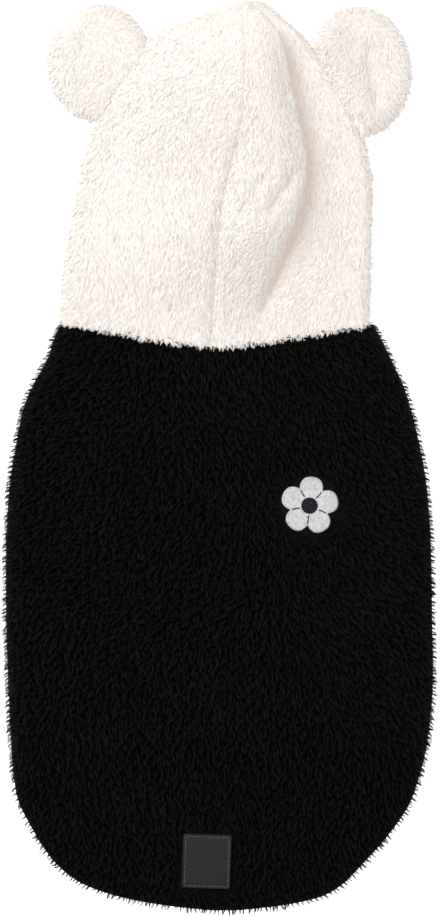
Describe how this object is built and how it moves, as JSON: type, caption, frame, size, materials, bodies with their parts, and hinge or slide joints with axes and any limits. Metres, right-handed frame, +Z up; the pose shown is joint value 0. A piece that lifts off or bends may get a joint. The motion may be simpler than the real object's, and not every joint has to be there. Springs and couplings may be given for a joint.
{
  "type": "dog hoodie",
  "caption": "Sleeveless dog hoodie laid flat with its back up: long-pile fleece body, fleece hood folded over to one side, two round ears.",
  "frame": {"origin": "under the middle of the whole garment, on the surface that it lies on", "axes": "+Z up out of the back panel, +Y from the hem towards the crown of the hood, +X to the side that the crown is folded over to"},
  "size_m": [0.3024, 0.638, 0.0431],
  "materials": {
    "black_fleece": "long-pile fleece, black, matt with a soft sheen",
    "cream_fleece": "curly fleece, cream, matt",
    "white_thread": "dense satin-stitch embroidery, white",
    "black_thread": "satin-stitch embroidery, black",
    "grey_leather": "thin dark grey-brown leather, matt"
  },
  "bodies": {
    "root": {"back_panel": "black_fleece", "belly_panel": "black_fleece", "hood_left": "cream_fleece", "hood_right": "cream_fleece", "ear_left_front": "cream_fleece", "ear_left_back": "cream_fleece", "ear_right_front": "cream_fleece", "ear_right_back": "cream_fleece", "badge": "white_thread", "badge_centre": "black_thread", "leather_label": "grey_leather"}
  },
  "joints": []
}
